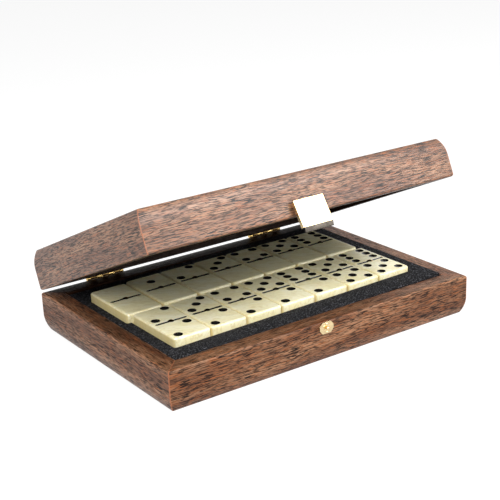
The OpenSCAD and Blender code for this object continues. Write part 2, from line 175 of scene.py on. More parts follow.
grainCells = {  # cells per metre along the run and across it
    "sway": (16, 50, 1), "broad": (11, 90, 1), "band": (20, 330, 1), "fibre": (75, 1350, 1),
    "pore": (110, 1250, 1), "hair": (170, 1900, 1), "patch": (40, 150, 1),
}


def walnutGroup():
    # broad tone, darker bands, bright fibres and short dark pores, all drawn out along u
    cells = grainCells
    group, start, end = groupOf("walnutGrain", [
        ("Run", "Vector", None), ("Light", "Color", (0.5, 0.2, 0.1, 1)),
        ("Middle", "Color", (0.3, 0.1, 0.05, 1)),
        ("Streak", "Color", (0.15, 0.06, 0.05, 1)), ("Fibre", "Color", (0.7, 0.3, 0.15, 1)),
        ("Pore", "Color", (0.03, 0.01, 0.01, 1))],
        [("Color", "Color"), ("Height", "Float"), ("Roughness", "Float")])
    source = start.outputs["Run"]
    sway = mathOf(group, "MULTIPLY", noiseOf(group, source, cells["sway"], 2.0), 0.005)
    lift = addNode(group, "CombineXYZ", {"Y": sway})
    run = addNode(group, "VectorMath", {0: source, 1: lift.outputs[0]}, operation="ADD").outputs[0]
    broad = noiseOf(group, run, cells["broad"], 3.0)
    band = noiseOf(group, run, cells["band"], 3.0, 0.6, 0.2, (3, 7, 0))
    fibre = noiseOf(group, run, cells["fibre"], 2.0, 0.6, 0.0, (1, 5, 0))
    pore = noiseOf(group, run, cells["pore"], 2.0, 0.6, 0.0, (9, 2, 0))
    hair = noiseOf(group, run, cells["hair"], 1.0, 0.5, 0.0, (6, 8, 0))
    patch = noiseOf(group, run, cells["patch"], 2.0, 0.5, 0.0, (4, 4, 0))
    color = mixOf(group, rampOf(group, broad, 0.35, 0.68), start.outputs["Middle"], start.outputs["Light"])
    color = mixOf(group, rampOf(group, band, 0.46, 0.68, 0.0, 0.6), color, start.outputs["Streak"])
    color = mixOf(group, rampOf(group, fibre, 0.52, 0.62, 0.0, 0.85), color, start.outputs["Fibre"])
    thick = rampOf(group, patch, 0.3, 0.6, 0.5, 1.0)
    deep = mathOf(group, "MULTIPLY", rampOf(group, pore, 0.51, 0.58), thick)
    fine = rampOf(group, hair, 0.52, 0.62, 0.0, 0.8)
    dash = mathOf(group, "MAXIMUM", mathOf(group, "MULTIPLY", deep, 0.98), fine)
    color = mixOf(group, dash, color, start.outputs["Pore"])
    group.links.new(color, end.inputs["Color"])
    height = mathOf(group, "SUBTRACT", mathOf(group, "MULTIPLY", fibre, 0.4), dash)
    group.links.new(height, end.inputs["Height"])
    group.links.new(mathOf(group, "ADD", rampOf(group, band, 0.3, 0.7, 0.26, 0.34),
                           mathOf(group, "MULTIPLY", dash, 0.2)), end.inputs["Roughness"])
    return group


def fleckGroup():
    # grey specks of two sizes on black, as in open-cell foam
    group, start, end = groupOf("foamFleck", [
        ("Place", "Vector", None), ("Dark", "Color", (0.004, 0.004, 0.005, 1)),
        ("Speck", "Color", (0.1, 0.1, 0.11, 1))], [("Color", "Color"), ("Height", "Float")])
    place = start.outputs["Place"]
    coarse = noiseOf(group, place, (1050, 1050, 1050), 2.0, 0.7)
    fine = noiseOf(group, place, (1900, 1900, 1900), 1.0, 0.6, 0.0, (5, 3, 1))
    patch = noiseOf(group, place, (260, 260, 260), 2.0, 0.6, 0.0, (2, 9, 4))
    small = rampOf(group, fine, 0.40, 0.60, 0.15, 1.0)
    speck = mathOf(group, "MULTIPLY", rampOf(group, coarse, 0.50, 0.64), small)
    speck = mathOf(group, "MULTIPLY", speck, rampOf(group, patch, 0.3, 0.7, 0.6, 1.0))
    group.links.new(mixOf(group, speck, start.outputs["Dark"], start.outputs["Speck"]), end.inputs["Color"])
    group.links.new(mathOf(group, "ADD", coarse, mathOf(group, "MULTIPLY", fine, 0.5)), end.inputs["Height"])
    return group


def veinGroup():
    # pearly ivory: soft clouds and thin slanting veins of a noise that is drawn out and twisted
    group, start, end = groupOf("ivoryVein", [
        ("Place", "Vector", None), ("Body", "Color", (0.85, 0.8, 0.6, 1)),
        ("Pale", "Color", (0.95, 0.92, 0.8, 1)),
        ("Shade", "Color", (0.6, 0.52, 0.35, 1))], [("Color", "Color"), ("Height", "Float")])
    place = start.outputs["Place"]
    slant = addNode(group, "Mapping", {"Vector": place, "Rotation": (0.15, 0.1, 0.5)}).outputs[0]
    cloud = noiseOf(group, slant, (50, 130, 80), 3.0, 0.5, 0.6)
    vein = noiseOf(group, slant, (55, 330, 110), 4.0, 0.6, 1.2, (2, 8, 3))
    ridge = mathOf(group, "ABSOLUTE", mathOf(group, "SUBTRACT", vein, 0.5))
    color = mixOf(group, rampOf(group, cloud, 0.35, 0.65), start.outputs["Body"], start.outputs["Pale"])
    color = mixOf(group, rampOf(group, ridge, 0.0, 0.05, 0.75, 0.0), color, start.outputs["Shade"])
    group.links.new(color, end.inputs["Color"])
    group.links.new(vein, end.inputs["Height"])
    return group


def scuffGroup():
    # soft marks that change the polish of a metal
    group, start, end = groupOf("metalScuff", [
        ("Place", "Vector", None), ("Smooth", "Float", 0.12), ("Rough", "Float", 0.3)],
        [("Roughness", "Float"), ("Height", "Float")])
    cloud = noiseOf(group, start.outputs["Place"], (220, 220, 220), 3.0)
    hair = noiseOf(group, start.outputs["Place"], (400, 3500, 3500), 2.0, 0.6, 0.0, (1, 2, 3))
    both = mathOf(group, "ADD", mathOf(group, "MULTIPLY", cloud, 0.7), mathOf(group, "MULTIPLY", hair, 0.3))
    fade = rampOf(group, both, 0.35, 0.65)
    low = mathOf(group, "MULTIPLY", mathOf(group, "SUBTRACT", 1.0, fade), start.outputs["Smooth"])
    high = mathOf(group, "MULTIPLY", fade, start.outputs["Rough"])
    group.links.new(mathOf(group, "ADD", low, high), end.inputs["Roughness"])
    group.links.new(hair, end.inputs["Height"])
    return group


groups = {"walnut": walnutGroup(), "foam": fleckGroup(), "ivory": veinGroup(), "metal": scuffGroup()}
print("shader groups made:", len(groups))


def newMaterial(name):
    # a fresh material with its tree and its Principled shader
    material = bpy.data.materials.new(name)
    material.use_nodes = True
    tree = material.node_tree
    return material, tree, tree.nodes["Principled BSDF"]


def placeGroup(tree, key, coords, socket, values):
    # one of the shared groups in a material, with that material's own values
    node = tree.nodes.new("ShaderNodeGroup")
    node.node_tree = groups[key]
    tree.links.new(coords, node.inputs[socket])
    for label, value in values.items():
        node.inputs[label].default_value = value
    return node


def bumpInto(tree, shader, height, strength, distance):
    bump = addNode(tree, "Bump", {"Height": height, "Strength": strength, "Distance": distance})
    tree.links.new(bump.outputs[0], shader.inputs["Normal"])


walnutColors = {  # each name is an input of the grain group
    "Light": (0.36, 0.185, 0.100, 1), "Middle": (0.165, 0.069, 0.034, 1), "Streak": (0.060, 0.022, 0.013, 1),
    "Fibre": (0.30, 0.095, 0.030, 1), "Pore": (0.006, 0.003, 0.002, 1),
}
# inner is the colour of the painted shade on the inner walls and the rims under the lid; innerShine is its
# specular level
woodLook = {
    "mitre": (0.42, 0.15, 0.07, 1), "inner": (0.016, 0.007, 0.004, 1), "mitreShare": 0.75, "innerShare": 0.9,
    "lidShine": 0.52, "baseShine": 0.14, "innerShine": 0.07, "relief": 0.10 * mm,
}


def walnutMaterial(name, shine, onFace=False, turn=(0, 0, 0), shift=(0, 0, 0)):
    # rails carry their own run of uv, a mark at the mitres and painted shade inside; panels use their coordinates
    material, tree, shader = newMaterial(name)
    if onFace:
        source = addNode(tree, "TexCoord").outputs["Object"]
    else:
        source = addNode(tree, "UVMap", uv_map="run").outputs[0]
    run = addNode(tree, "Mapping", {"Vector": source, "Rotation": turn, "Location": shift}).outputs[0]
    grain = placeGroup(tree, "walnut", run, "Run", walnutColors)
    color = grain.outputs["Color"]
    if not onFace:
        mark = addNode(tree, "Attribute", attribute_name="mark").outputs["Fac"]
        color = mixOf(tree, mathOf(tree, "MULTIPLY", mark, woodLook["mitreShare"]), color, woodLook["mitre"])
        # painted shade: the inner walls and the rims under the lid are darkened towards the inner colour
        paintedShade = addNode(tree, "Attribute", attribute_name="paintedShade").outputs["Fac"]
        color = mixOf(tree, mathOf(tree, "MULTIPLY", paintedShade, woodLook["innerShare"]), color, woodLook["inner"])
    shader.inputs["Specular IOR Level"].default_value = shine
    tree.links.new(color, shader.inputs["Base Color"])
    tree.links.new(grain.outputs["Roughness"], shader.inputs["Roughness"])
    shader.inputs["IOR"].default_value = 1.5
    bumpInto(tree, shader, grain.outputs["Height"], 0.3, woodLook["relief"])
    return material


# the lid pad's specks are darker: painted shade inside the lid
foamLook = {"dark": (0.005, 0.005, 0.006, 1), "traySpeck": (0.14, 0.14, 0.155, 1),
            "shadedPadSpeck": (0.03, 0.03, 0.035, 1), "relief": 0.6 * mm}


def foamMaterial(name, speck):
    # matt black with the shared flecks in its colour and its relief
    material, tree, shader = newMaterial(name)
    fleck = placeGroup(tree, "foam", addNode(tree, "TexCoord").outputs["Object"], "Place",
                       {"Dark": foamLook["dark"], "Speck": speck})
    tree.links.new(fleck.outputs["Color"], shader.inputs["Base Color"])
    shader.inputs["Roughness"].default_value = 0.95
    shader.inputs["Specular IOR Level"].default_value = 0.15
    bumpInto(tree, shader, fleck.outputs["Height"], 0.9, foamLook["relief"])
    return material


ivoryColors = {"Body": (0.92, 0.84, 0.52, 1), "Pale": (0.95, 0.90, 0.64, 1), "Shade": (0.76, 0.66, 0.36, 1)}
# the gap colour below is painted golden shade, in the joints between dominoes and low on their sides
ivoryLook = {"gapShadeGold": (0.70, 0.55, 0.22, 1), "glow": 0.08, "glowReach": 3 * mm,
             "polish": 0.18, "relief": 0.2 * mm}


def ivoryMaterial():
    # pearly veins, with painted golden shade where the piece's own depth says so, with a little light inside
    material, tree, shader = newMaterial("ivory")
    vein = placeGroup(tree, "ivory", addNode(tree, "TexCoord").outputs["Object"], "Place", ivoryColors)
    depth = addNode(tree, "Attribute", attribute_name="depth").outputs["Fac"]
    # painted golden shade mixed in by the depth attribute
    color = mixOf(tree, depth, vein.outputs["Color"], ivoryLook["gapShadeGold"])
    tree.links.new(color, shader.inputs["Base Color"])
    shader.inputs["Subsurface Weight"].default_value = ivoryLook["glow"]
    shader.inputs["Subsurface Radius"].default_value = (1.0, 0.7, 0.35)
    shader.inputs["Subsurface Scale"].default_value = ivoryLook["glowReach"]
    shader.inputs["Roughness"].default_value = ivoryLook["polish"]
    shader.inputs["IOR"].default_value = 1.5
    bumpInto(tree, shader, vein.outputs["Height"], 0.25, ivoryLook["relief"])
    return material


pipLook = {"dark": (0.004, 0.004, 0.004, 1), "light": (0.014, 0.013, 0.012, 1), "polish": 0.14, "bend": 1.7}


def pipPaintMaterial():
    # glossy black paint with faint clouds
    material, tree, shader = newMaterial("pipPaint")
    cloud = noiseOf(tree, addNode(tree, "TexCoord").outputs["Object"], (900, 900, 900), 2.0)
    color = mixOf(tree, cloud, pipLook["dark"], pipLook["light"])
    tree.links.new(color, shader.inputs["Base Color"])
    shader.inputs["Roughness"].default_value = pipLook["polish"]
    shader.inputs["IOR"].default_value = pipLook["bend"]
    return material


metalLooks = {  # colour, roughness where it is smooth and where it is scuffed
    "hingeBrass": ((0.80, 0.55, 0.20, 1), 0.16, 0.34), "shadedBrass": ((0.20, 0.12, 0.04, 1), 0.22, 0.4),
    # shadedLipBrass is a darker copy of the clasp brass: painted shade for the dark reflection on the flap's bent
    # lip
    "claspBrass": ((0.78, 0.61, 0.35, 1), 0.10, 0.22), "shadedLipBrass": ((0.085, 0.074, 0.062, 1), 0.2, 0.35),
    "springSteel": ((0.62, 0.62, 0.63, 1), 0.18, 0.34), "spinnerMetal": ((0.66, 0.52, 0.33, 1), 0.06, 0.16),
}


def metalMaterial(name, color, smooth, rough):
    # scuffed metal whose rougher parts are a little darker
    material, tree, shader = newMaterial(name)
    scuff = placeGroup(tree, "metal", addNode(tree, "TexCoord").outputs["Object"], "Place",
                       {"Smooth": smooth, "Rough": rough})
    dull = tuple(c * 0.82 for c in color[:3]) + (1,)
    tone = rampOf(tree, scuff.outputs["Roughness"], smooth, rough)
    tree.links.new(mixOf(tree, tone, color, dull), shader.inputs["Base Color"])
    tree.links.new(scuff.outputs["Roughness"], shader.inputs["Roughness"])
    shader.inputs["Metallic"].default_value = 1.0
    bumpInto(tree, shader, scuff.outputs["Height"], 0.06, 0.00005)
    return material


metals = {name: metalMaterial(name, *look) for name, look in metalLooks.items()}
blackFoam = foamMaterial("blackFoam", foamLook["traySpeck"])
# the same foam with darker specks: painted shade inside the lid
shadedPadFoam = foamMaterial("shadedPadFoam", foamLook["shadedPadSpeck"])
ivory = ivoryMaterial()
pipPaint = pipPaintMaterial()
lidWood = walnutMaterial("walnutPrint", woodLook["lidShine"])
baseWood = walnutMaterial("dullWalnutPrint", woodLook["baseShine"])
# darker walnut for the faces in full painted shade inside the box
shadedWood = walnutMaterial("shadedWalnut", woodLook["innerShine"])
print("materials made:", len(bpy.data.materials))

lidTilt = math.radians(joints["lid_hinge"]["range_deg"][0])
flapLean = -lidTilt - math.radians(joints["clasp_hinge"]["range_deg"][0])
hingeLine = np.array(joints["lid_hinge"]["pos_m"])


def onLid(points):
    # turns points of the shut lid about the hinge line by the angle at which it stands open
    c, s = math.cos(lidTilt), math.sin(lidTilt)
    y, z = points[:, 1] - hingeLine[1], points[:, 2] - hingeLine[2]
    return np.stack([points[:, 0], hingeLine[1] + y * c - z * s, hingeLine[2] + y * s + z * c], -1)


def roundedOutline(width, depth, radius, perCorner=7, perSide=3, inset=0.0):
    # closed path: quarter circles at four corners and straight runs between them, anticlockwise
    angle = np.linspace(0, math.pi / 2, perCorner)
    corners = [(1, 1, 0), (-1, 1, 1), (-1, -1, 2), (1, -1, 3)]
    out = []
    for k, (sx, sy, quarter) in enumerate(corners):
        turn = angle + quarter * math.pi / 2
        cx, cy = sx * (width / 2 - radius), sy * (depth / 2 - radius)
        arc = np.stack([cx + (radius - inset) * np.cos(turn), cy + (radius - inset) * np.sin(turn)], -1)
        nx, ny, nq = corners[(k + 1) % 4]
        nextStart = np.array([nx * (width / 2 - radius) + (radius - inset) * math.cos(nq * math.pi / 2),
                              ny * (depth / 2 - radius) + (radius - inset) * math.sin(nq * math.pi / 2)])
        share = np.linspace(0, 1, perSide + 2)[1:-1, None]
        out += [arc, arc[-1] + share * (nextStart - arc[-1])]
    return np.concatenate(out)


mouldingSizes = {
    "boxWidth": 240 * mm, "boxDepth": 166 * mm, "height": 27.5 * mm, "thick": 12.3 * mm, "lidFar": 55.6 * mm,
    "bowHeight": 12 * mm, "bowIn": 3.3 * mm, "edgeRound": 1.5 * mm, "innerRound": 0.5 * mm,
    "footRound": 0.7 * mm, "rebateWide": 5 * mm, "rebateDeep": 4 * mm, "endSoft": 0.14 * mm,
    "markWide": 0.5 * mm, "nearEdge": 0.3 * mm, "innerSkin": 0.2 * mm, "rimSkin": 0.1 * mm,
}


rimShade = {"front": 0.22, "left": 0.4, "right": 0.0, "back": 1.0}  # painted shade: the base's rims darken towards the lid, under which they lie in shade


def mouldingProfile(s):
    # section from the inner face outwards: the bow is an arc square to the straight face, edges small arcs
    bowRadius = (s["bowHeight"] ** 2 + s["bowIn"] ** 2) / (2 * s["bowIn"])
    sweep = math.asin(s["bowHeight"] / bowRadius)
    bow = np.linspace(-sweep + s["footRound"] / bowRadius, 0, 15)
    bowLine = np.stack([s["thick"] - bowRadius + bowRadius * np.cos(bow),
                        s["bowHeight"] + bowRadius * np.sin(bow)], -1)
    foot = np.array([s["thick"] - s["bowIn"], 0.0])
    footStart = foot - [s["footRound"], 0]
    t = np.linspace(0, 1, 6)[:-1, None]
    footLine = (1 - t) ** 2 * footStart + 2 * t * (1 - t) * foot + t ** 2 * bowLine[0]
    quarter = np.linspace(0, math.pi / 2, 9)
    r, q = s["edgeRound"], s["innerRound"]
    edgeLine = np.stack([s["thick"] - r + r * np.cos(quarter), s["height"] - r + r * np.sin(quarter)], -1)
    innerLine = np.stack([q - q * np.sin(quarter[::2]), s["height"] - q + q * np.cos(quarter[::2])], -1)
    near = s["nearEdge"]
    rows = [[[s["rebateWide"], s["rebateDeep"]]], [[s["rebateWide"], near]], [[s["rebateWide"], 0]],
            [[s["rebateWide"] + near, 0]], [footStart - [near, 0]], footLine, bowLine,
            [[s["thick"], (s["bowHeight"] + s["height"]) / 2]], [[s["thick"], s["height"] - r - near]],
            edgeLine,
            [[s["thick"] - r - near, s["height"]]], [[q + near, s["height"]]], innerLine,
            [[0, s["height"] - q - near]], [[0, s["rebateDeep"] + near]], [[0, s["rebateDeep"]]],
            [[s["rebateWide"], s["rebateDeep"]]]]
    return np.concatenate([np.asarray(r, float).reshape(-1, 2) for r in rows])


def mouldingPiece(node, side, length, onTop, seed):
    # the profile carried along the rail: at p out from the inner face the mitre ends at length/2 - thick + p
    s = mouldingSizes
    profile = mouldingProfile(s)
    inward = profile.mean(0) - profile
    inward /= np.linalg.norm(inward, axis=1, keepdims=True)
    around = np.concatenate([[0], np.cumsum(np.linalg.norm(np.diff(profile, axis=0), axis=1))])
    soft, wide = s["endSoft"], s["markWide"]
    fromEnd = np.array([0, 0.4 * soft, soft, 0.7 * wide, wide, 2 * wide, 4 * wide])
    shrink = np.array([soft, 0.4 * soft, 0, 0, 0, 0, 0])
    reach = length / 2 - s["thick"] + profile[:, 0]
    nearEnd = [-(reach - d) for d in fromEnd]
    share = np.linspace(-1, 1, 41)[1:-1]
    middle = [t * (reach - fromEnd[-1]) for t in share]
    along = np.stack(nearEnd + middle + [-a for a in nearEnd[::-1]])
    pull = np.concatenate([shrink, np.zeros(len(share)), shrink[::-1]])
    fade = np.clip(1.3 - fromEnd / wide, 0, 1)
    mark = np.concatenate([fade, np.zeros(len(share)), fade[::-1]])
    p = profile[None, :, 0] + pull[:, None] * inward[None, :, 0]
    z = profile[None, :, 1] + pull[:, None] * inward[None, :, 1]
    innerW, innerD = s["boxWidth"] / 2 - s["thick"], s["boxDepth"] / 2 - s["thick"]
    x, y = {"front": (-along, -(innerD + p)), "back": (along, innerD + p),
            "right": (innerW + p, -along), "left": (-(innerW + p), along)}[side]
    if onTop:
        z = s["lidFar"] - z
    points = np.stack([x, y, z], -1).reshape(-1, 3)
    if onTop:
        points = onLid(points)
    offset = np.random.default_rng(seed).uniform(0, 3, 2)
    uv = np.stack([along + offset[0], np.broadcast_to(around, along.shape) + offset[1]], -1).reshape(-1, 2)
    rows, cols = along.shape
    ends = [list(range(cols - 1)), list(range((rows - 1) * cols, rows * cols - 1))]
    # painted shade: full on the inner wall and on the lid's rims, as the rim table says on the rims of the base
    rim = profile[:, 1] > s["height"] - s["rimSkin"]
    rimShare = 1.0 if onTop else rimShade[side]
    paintedShade = np.where(profile[:, 0] < s["innerSkin"], 1.0, np.where(rim, rimShare, 0.0))
    values = {"mark": np.repeat(mark, cols), "paintedShade": np.tile(paintedShade, rows)}
    faces = gridFaces(rows, cols)
    # faces in full painted shade get the darker walnut
    dark = np.tile((paintedShade[:-1] > 0.9) & (paintedShade[1:] > 0.9), rows - 1)
    patches = [{"points": points, "faces": faces[~dark].tolist() + ends, "uv": uv, "values": values},
               {"points": points, "faces": faces[dark], "uv": uv, "values": values, "material": 1}]
    woods = [lidWood if onTop else baseWood, shadedWood]
    return buildPiece(node + "_moulding", patches, woods, sharpAngle=32)


for half, onTop in (("base", False), ("lid", True)):
    for k, side in enumerate(("front", "back", "left", "right")):
        length = mouldingSizes["boxWidth"] if side in ("front", "back") else mouldingSizes["boxDepth"]
        node = f"{half}_{side}_rail"
        standFor(mouldingPiece(node, side, length, onTop, 11 + k + 4 * onTop), node)
print("mouldings made")

shine = woodLook["lidShine"]
panelWood = {"base_panel": walnutMaterial("basePanelPrint", shine, True, shift=(1.3, 0.4, 0)),
             "lid_panel": walnutMaterial("lidPanelPrint", shine, True, (-lidTilt, 0, 0), (2.1, 1.7, 0))}
for node, material in panelWood.items():
    frame["nodes"][node].data.materials.clear()
    frame["nodes"][node].data.materials.append(material)

foamSizes = {
    "edge": 1.3 * mm, "wellEdge": 0.9 * mm, "crown": 0.35 * mm, "lump": 0.22 * mm, "outerRadius": 1.2 * mm,
    "wellRadius": 2 * mm, "stepRadius": 0.6 * mm, "padCrown": 0.8 * mm, "padEdge": 2.5 * mm, "rise": 3.2 * mm,
    "padWide": 214.8 * mm, "padDeep": 140.8 * mm, "padUnderside": 34.55 * mm, "panelThick": 4 * mm,
    "padCorner": 3 * mm, "padTight": 0.4 * mm, "outerStep": 0.5 * mm, "stepHalf": 2 * mm, "settle": 0.15 * mm,
    "slip": 0.05 * mm, "swellX": 61, "swellY": 83, "rippleX": 143, "rippleY": 97, "rippleShare": 0.6,
}
columns, pitchX, pitchY, tileGap = 7, 27.4 * mm, 51.8 * mm, 0.3 * mm
rowShift, wellShift = (-0.8 * mm, -4 * mm), -0.9 * mm
wellWide, wellDeep = columns * pitchX + tileGap, 2 * pitchY + tileGap
frontLower = [f"domino_{a}_{b}" for a, b in ((1, 1), (2, 1), (3, 1), (4, 1), (5, 1), (6, 1), (3, 3))]
backLower = [f"domino_{a}_{b}" for a, b in ((4, 3), (5, 3), (6, 3), (4, 4), (5, 4), (6, 4), (6, 6))]


def cornerPath(corners, radii, sides, perCorner=7):
    # closed path through the corners, each rounded by an arc; two such paths have the same number of points
    corners = np.asarray(corners, float)
    count = len(corners)
    t = np.linspace(0, 1, perCorner)[:, None]
    angle = t * math.pi / 2
    joins = []
    for k in range(count):
        a, b = corners[k - 1] - corners[k], corners[(k + 1) % count] - corners[k]
        a, b = a / np.linalg.norm(a), b / np.linalg.norm(b)
        p, q = corners[k] + a * radii[k], corners[k] + b * radii[k]
        centre = p + q - corners[k]
        if abs(a @ b) > 0.9:
            joins.append(p + t * (q - p))
        else:
            joins.append(centre + (p - centre) * np.cos(angle) + (q - centre) * np.sin(angle))
    out = []
    for k in range(count):
        share = np.linspace(0, 1, sides[k] + 2)[1:-1, None]
        out += [joins[k], joins[k][-1] + share * (joins[(k + 1) % count][0] - joins[k][-1])]
    return np.concatenate(out)


def foamTray():
    # a closed band between the outer outline and the well: up the outside, over a soft top and down the well
    low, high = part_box("foam_tray")
    x0, y0, z0, x1, y1, z1 = *low, *high
    s = foamSizes
    front, back = [[sign * wellWide / 2 + shift for sign in (-1, 1)] for shift in rowShift]
    yf, ym, yb = wellShift - wellDeep / 2, wellShift, wellShift + wellDeep / 2
    inner = [(front[0], yf), (front[1], yf), (front[1], ym), (back[1], ym),
             (back[1], yb), (back[0], yb), (back[0], ym), (front[0], ym)]
    h = s["stepHalf"]
    outer = [(x0, y0), (x1, y0), (x1, ym - h), (x1, ym + h), (x1, y1), (x0, y1), (x0, ym + h), (x0, ym - h)]
    w, step, small, bend = s["wellRadius"], s["stepRadius"], s["outerRadius"], s["outerStep"]
    sides = [60, 24, 1, 24, 60, 24, 1, 24]
    inside = cornerPath(inner, [w, w, step, step, w, w, step, step], sides)
    outside = cornerPath(outer, [small, small, bend, bend, small, small, bend, bend], sides)
    width = np.linalg.norm(inside - outside, axis=1, keepdims=True)
    unit = (inside - outside) / width
    quarter = np.linspace(0, math.pi / 2, 6)
    spread = np.linspace(0, 1, 14)[1:-1]
    e, w = s["edge"], s["wellEdge"]
    # one row per line along the band: place across, depth below the top, share of the wall, crown
    across = [outside + unit * a for a in np.concatenate([[0, 0, 0], e * (1 - np.cos(quarter))])]
    across += [outside + unit * (e + t * (width - e - w)) for t in spread]
    across += [inside - unit * a for a in np.concatenate([w * (1 - np.sin(quarter)), [0, 0, 0]])]
    flat = np.stack(across)
    down = np.concatenate([[0, 0, 0], e * (1 - np.sin(quarter)), 0 * spread,
                           w * (1 - np.cos(quarter)), [0, 0, 0]])
    wall = np.concatenate([[1, 0.5, 0.1], 0 * quarter, 0 * spread, 0 * quarter, [0.1, 0.5, 1]])
    crown = np.concatenate([[0, 0, 0], 0 * quarter, np.sin(math.pi * spread), 0 * quarter, [0, 0, 0]])
    down, wall, crown = down[:, None], wall[:, None], crown[:, None]
    # height of the top: a plane that rises to the right, a crown across the band, and two low waves
    x, y = flat[..., 0], flat[..., 1]
    plane = z1 - s["rise"] * (x1 - x) / (x1 - x0)
    wave = np.sin(x * s["swellX"] + 1) * np.sin(y * s["swellY"] + 2)
    wave += s["rippleShare"] * np.sin(x * s["rippleX"] + y * s["rippleY"])
    top = plane + s["crown"] * crown + s["lump"] * wave * crown - s["settle"]
    z = np.where(wall > 0, z0 + (top - e - z0) * (1 - wall), top - down)
    points = np.concatenate([flat, np.minimum(z, z1)[..., None]], -1)
    rows, count = points.shape[:2]
    faces = gridFaces(rows, count, wrapRows=True, wrapCols=True)
    return buildPiece("foam_tray_soft", [{"points": points.reshape(-1, 3), "faces": faces}], [blackFoam], 70)


def foamSheet():
    # a thin block whose top is dented under each stack: the grid has two lines at each side of a dent
    low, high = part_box("foam_floor")
    x0, y0, z0, x1, y1, z1 = *low, *high
    floors = np.array([[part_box(n)[0][2] for n in names] for names in (frontLower, backLower)])
    slip = foamSizes["slip"]
    rowsX, rowsZ = [], []
    for r in (0, 1):
        edges = (np.arange(columns + 1) - columns / 2) * pitchX + rowShift[r]
        inner = np.stack([edges[:-1] + slip, edges[1:] - slip], -1).ravel()
        rowsX.append(np.concatenate([[x0, edges[0] - slip], inner, [edges[-1] + slip, x1]]))
        rowsZ.append(np.concatenate([[z1, z1], np.repeat(floors[r], 2), [z1, z1]]))
    flatZ = np.full_like(rowsZ[0], z1)
    yf, ym, yb = wellShift - pitchY, wellShift, wellShift + pitchY
    lines = [(y0, 0, flatZ), (yf - slip, 0, flatZ), (yf + slip, 0, rowsZ[0]), (ym - slip, 0, rowsZ[0]),
             (ym + slip, 1, rowsZ[1]), (yb - slip, 1, rowsZ[1]), (yb + slip, 1, flatZ), (y1, 1, flatZ)]
    top = np.stack([np.stack([rowsX[r], np.full_like(rowsX[r], y), z], -1) for y, r, z in lines])
    rows, cols = top.shape[:2]
    under = top.copy()
    under[..., 2] = z0
    rim = np.concatenate([np.arange(cols), cols * np.arange(1, rows) + cols - 1,
                          cols * (rows - 1) + np.arange(cols - 2, -1, -1), cols * np.arange(rows - 2, 0, -1)])
    wall = np.stack([top.reshape(-1, 3)[rim], under.reshape(-1, 3)[rim]])
    patches = [{"points": top.reshape(-1, 3), "faces": gridFaces(rows, cols)},
               {"points": under.reshape(-1, 3), "faces": gridFaces(rows, cols)},
               {"points": wall.reshape(-1, 3), "faces": gridFaces(2, len(rim), wrapCols=True)}]
    return buildPiece("foam_floor_soft", patches, [blackFoam])


def lidPad():
    # rounded plate made of rings: out over the swollen lower face, round its edge, up the side and in on top
    s = foamSizes
    e, low = s["padEdge"], s["padUnderside"]
    top = mouldingSizes["lidFar"] - s["panelThick"]
    quarter = np.linspace(0, math.pi / 2, 7)
    face = np.linspace(0, 1, 12)[:-1]
    inset = np.concatenate([e + 0 * face, e * (1 - np.sin(quarter)), [0, 0, 0, 0]])
    scale = np.concatenate([face, 1 + 0 * quarter, [1, 1, 0.6, 0]])
    height = np.concatenate([low + s["padCrown"] * face ** 4,
                             low + s["padCrown"] + (e - s["padCrown"]) * (1 - np.cos(quarter)),
                             [(low + e + top) / 2, top, top, top]])
    corner = np.maximum(s["padCorner"] - inset, s["padTight"])
    rings = [roundedOutline(s["padWide"] - 2 * i, s["padDeep"] - 2 * i, c, 5, 9) * k
             for i, c, k in zip(inset, corner, scale)]
    points = np.stack([np.column_stack([r, np.full(len(r), h)]) for r, h in zip(rings, height)])
    faces = gridFaces(points.shape[0], points.shape[1], wrapCols=True)
    patch = {"points": onLid(points.reshape(-1, 3)), "faces": faces}
    return buildPiece("lid_pad_soft", [patch], [shadedPadFoam], 60)


for make, node in ((foamTray, "foam_tray"), (foamSheet, "foam_floor"), (lidPad, "lid_pad")):
    piece = make()
    standFor(piece, node)
print("foam made")

dominoSizes = {
    "width": 27.1 * mm, "length": 51.5 * mm, "thick": 12 * mm, "edge": 1.5 * mm, "corner": 2.5 * mm,
    "pipWide": 6.1 * mm, "pipDeep": 1.0 * mm, "pipAcross": 7.8 * mm, "pipAlong": 7.3 * mm,
    "pipMiddle": 13.5 * mm,
    "barLong": 22.9 * mm, "barWide": 2.4 * mm, "barDeep": 0.7 * mm, "lip": 0.14 * mm, "flat": 0.06 * mm,
    "spinnerWide": 4.2 * mm, "spinnerHigh": 0.8 * mm, "spinnerPlay": 0.03 * mm,
    "rimHigh": 0.03 * mm, "rimWide": 0.05 * mm, "barLip": 0.1 * mm,
    # the warm and joint sizes place the painted golden shade: low on all sides, and in the joints on the long
    # sides
    "lowShadeDeep": 8 * mm, "lowShadeGold": 0.6, "jointSkin": 0.8 * mm, "jointFrom": 0.3 * mm, "jointDeep": 1.1 * mm,
    "jointShadeGold": 0.7,
}
pipSpots = {0: [], 1: [(0, 0)], 2: [(-1, -1), (1, 1)], 3: [(0, 0), (-1, -1), (1, 1)],
            4: [(-1, -1), (1, 1), (-1, 1), (1, -1)], 5: [(0, 0), (-1, -1), (1, 1), (-1, 1), (1, -1)],
            6: [(-1, -1), (1, 1), (-1, 1), (1, -1), (-1, 0), (1, 0)]}


def capDrop(reach, wide, deep):
    # depth of a round cup at a distance from its middle: a ball of the radius that fits its width and depth
    ball = (wide ** 2 / 4 + deep ** 2) / (2 * deep)
    return np.sqrt(np.maximum(ball ** 2 - reach ** 2, 0)) - (ball - deep)


